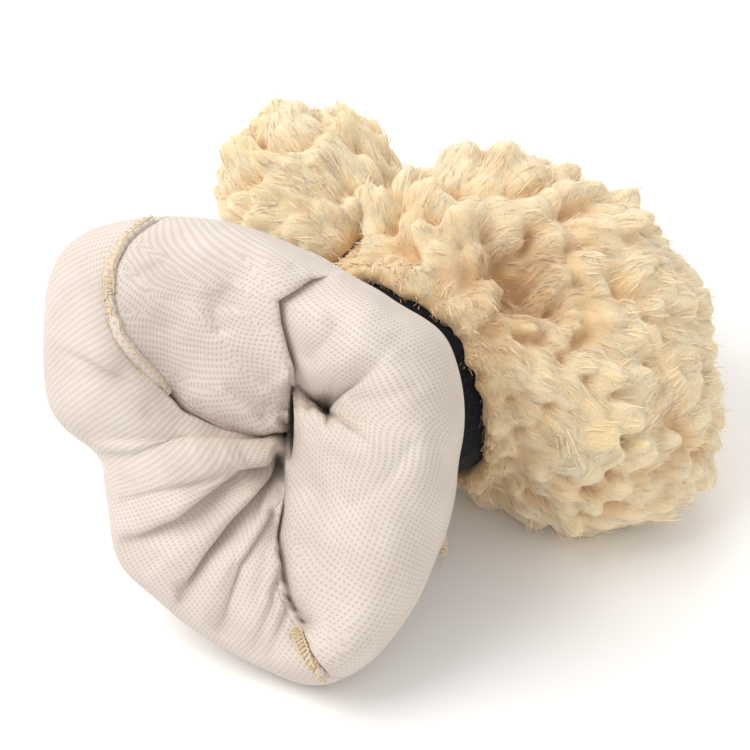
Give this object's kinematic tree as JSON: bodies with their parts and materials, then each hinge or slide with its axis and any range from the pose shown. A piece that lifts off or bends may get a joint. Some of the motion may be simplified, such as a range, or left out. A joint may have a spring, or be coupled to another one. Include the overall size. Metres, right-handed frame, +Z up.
{
  "type": "wash mitt",
  "caption": "Car wash mitt with a long-pile shell and thumb, a knitted elastic cuff, and a non-woven liner pulled out and rolled over the wrist.",
  "frame": {"origin": "middle of the footprint, on the floor", "axes": "+Y from the cuff to the finger end, +Z up, the thumb towards -X, the rolled liner towards -Y"},
  "size_m": [0.2244, 0.2714, 0.1551],
  "materials": {
    "pile": "long matte pile",
    "knit": "brushed matte knit",
    "elastic": "matte woven",
    "liner": "matte embossed non-woven",
    "thread": "matte thread"
  },
  "bodies": {
    "hand": {"hand_back_pile": "pile", "hand_palm_pile": "pile", "hand_seam_allowance": "pile", "cuff_band": "knit", "cuff_elastic": "elastic", "cuff_shell_stitch": "thread", "cuff_mouth_stitch": "thread", "pocket_back_panel": "liner", "pocket_palm_panel": "liner", "liner_seam_tail": "thread"},
    "fingers": {"finger_back_pile": "pile", "finger_palm_pile": "pile"},
    "thumb": {"thumb_back_pile": "pile", "thumb_palm_pile": "pile"},
    "liner": {"liner_back_panel": "liner", "liner_palm_panel": "liner", "liner_seam_thumb_side": "liner", "liner_seam_little_side": "liner", "overlock_thread_thumb_side": "thread", "overlock_thread_little_side": "thread"}
  },
  "joints": [
    {"name": "finger_flex", "type": "hinge", "parent": "hand", "child": "fingers", "pos_m": [0.02653, 0.07371, 0.05681], "axis": [0.9063, 0, -0.4226], "range_deg": [-28, 28]},
    {"name": "thumb_flex", "type": "hinge", "parent": "hand", "child": "thumb", "pos_m": [-0.04507, 0.02271, 0.0902], "axis": [0, 1, 0], "range_deg": [-18, 18]},
    {"name": "liner_flop", "type": "hinge", "parent": "hand", "child": "liner", "pos_m": [0.01112, 0.00771, 0.064], "axis": [-1, 0, 0], "range_deg": [-3, 12]}
  ]
}
